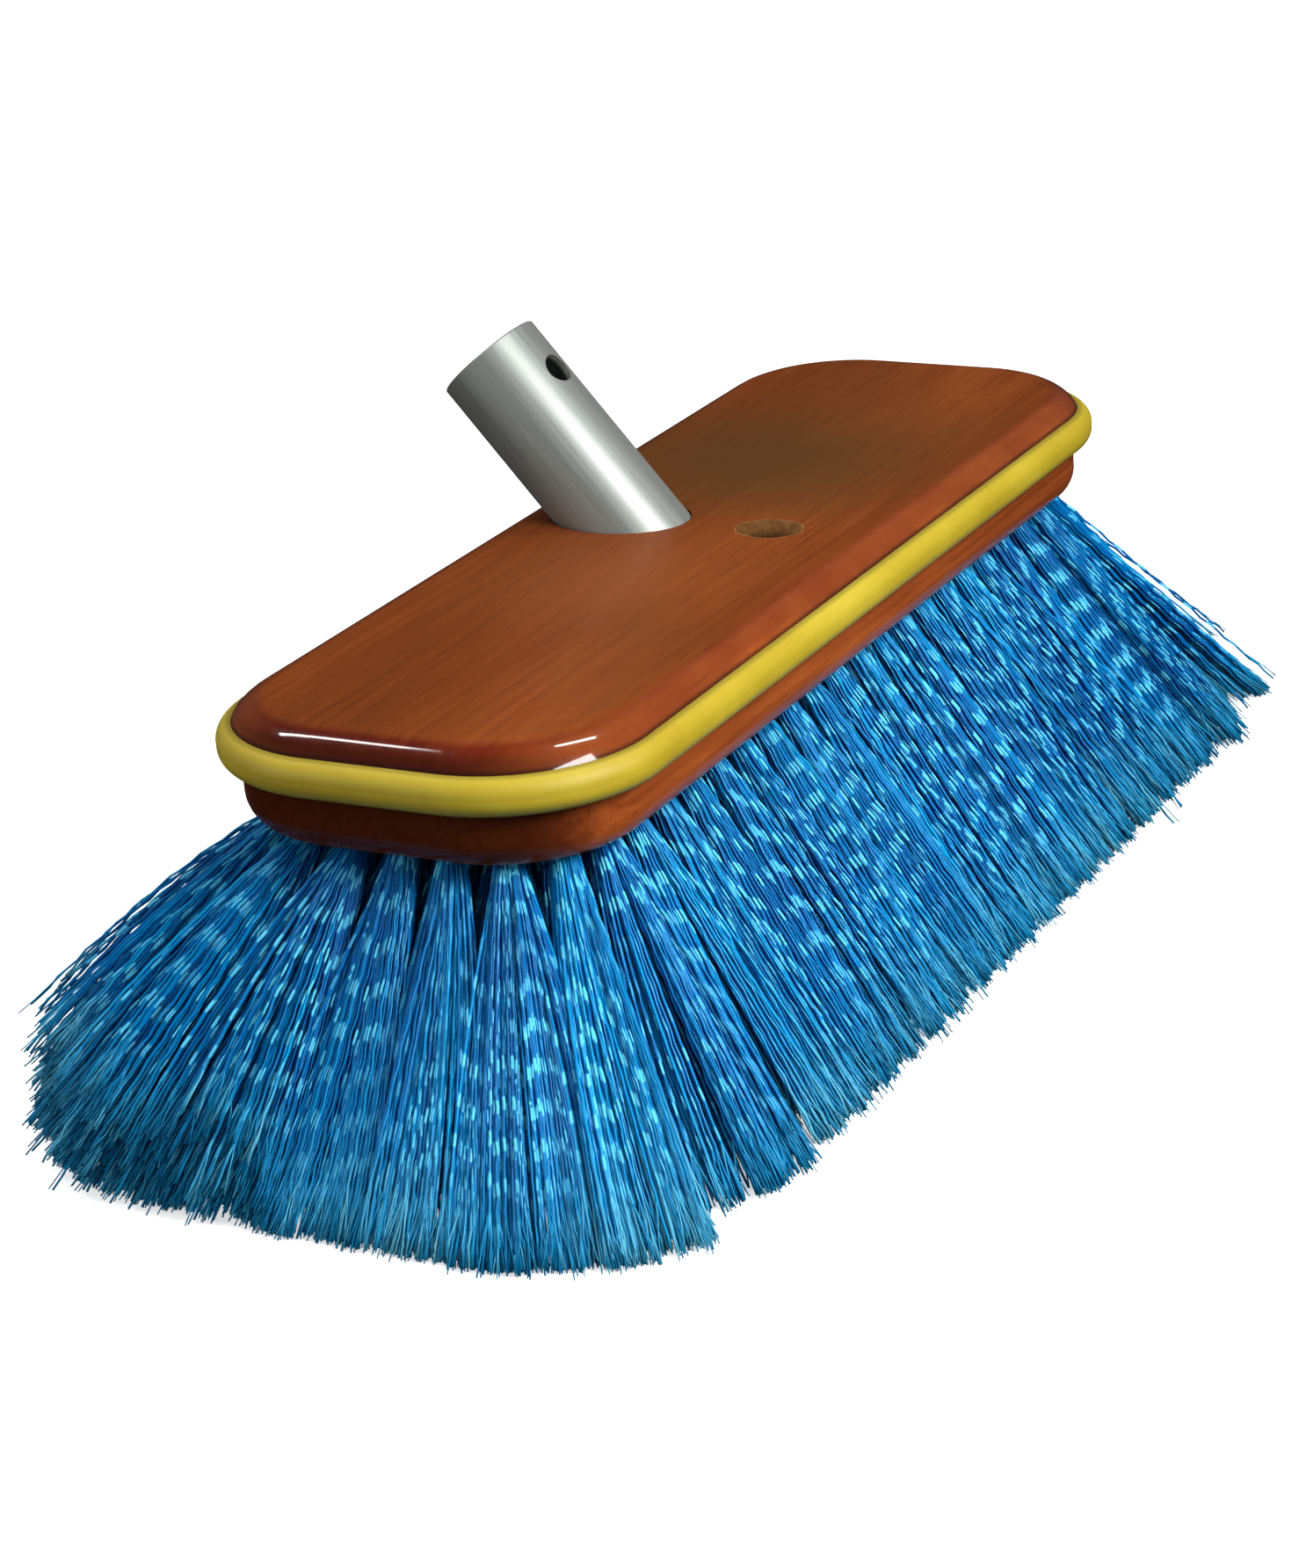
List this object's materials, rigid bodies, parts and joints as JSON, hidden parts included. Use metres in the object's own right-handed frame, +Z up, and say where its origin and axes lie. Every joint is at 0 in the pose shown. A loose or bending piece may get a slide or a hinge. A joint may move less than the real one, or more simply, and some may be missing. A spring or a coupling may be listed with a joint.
{
  "type": "wooden block wash brush",
  "caption": "Rounded wooden brush block with a yellow edge bumper, a slanted aluminium handle ferrule and flared blue bristles.",
  "frame": {"origin": "middle of the object's footprint, in the plane of the trimmed bristle tips", "axes": "+Z up, square to the block's top face; X along the block; the handle ferrule leans towards +Y"},
  "size_m": [0.3256, 0.1472, 0.1175],
  "materials": {
    "varnished_wood": "reddish-brown stained hardwood under a satin varnish, glossier on the rounded edges",
    "yellow_vinyl": "satin yellow soft vinyl",
    "satin_aluminium": "drawn aluminium tube, satin, with a bright streak along it",
    "dark_steel": "dull plated steel",
    "blue_bristle": "crimped blue synthetic filament with split, paler tips",
    "anchor_wire": "flat brass anchor wire, hidden in the tuft holes"
  },
  "bodies": {
    "root": {"wood_block": "varnished_wood", "edge_bumper": "yellow_vinyl", "handle_ferrule": "satin_aluminium", "ferrule_screw": "dark_steel", "tufts_outer_front": "blue_bristle", "tufts_outer_rear": "blue_bristle", "tufts_outer_left": "blue_bristle", "tufts_outer_right": "blue_bristle", "tufts_second_front": "blue_bristle", "tufts_second_rear": "blue_bristle", "tufts_second_left": "blue_bristle", "tufts_second_right": "blue_bristle", "tufts_third_front": "blue_bristle", "tufts_third_rear": "blue_bristle", "tufts_middle": "blue_bristle", "anchors_outer_front": "anchor_wire", "anchors_outer_rear": "anchor_wire", "anchors_outer_left": "anchor_wire", "anchors_outer_right": "anchor_wire", "anchors_second_front": "anchor_wire", "anchors_second_rear": "anchor_wire", "anchors_second_left": "anchor_wire", "anchors_second_right": "anchor_wire", "anchors_third_front": "anchor_wire", "anchors_third_rear": "anchor_wire", "anchors_middle": "anchor_wire"}
  },
  "joints": []
}
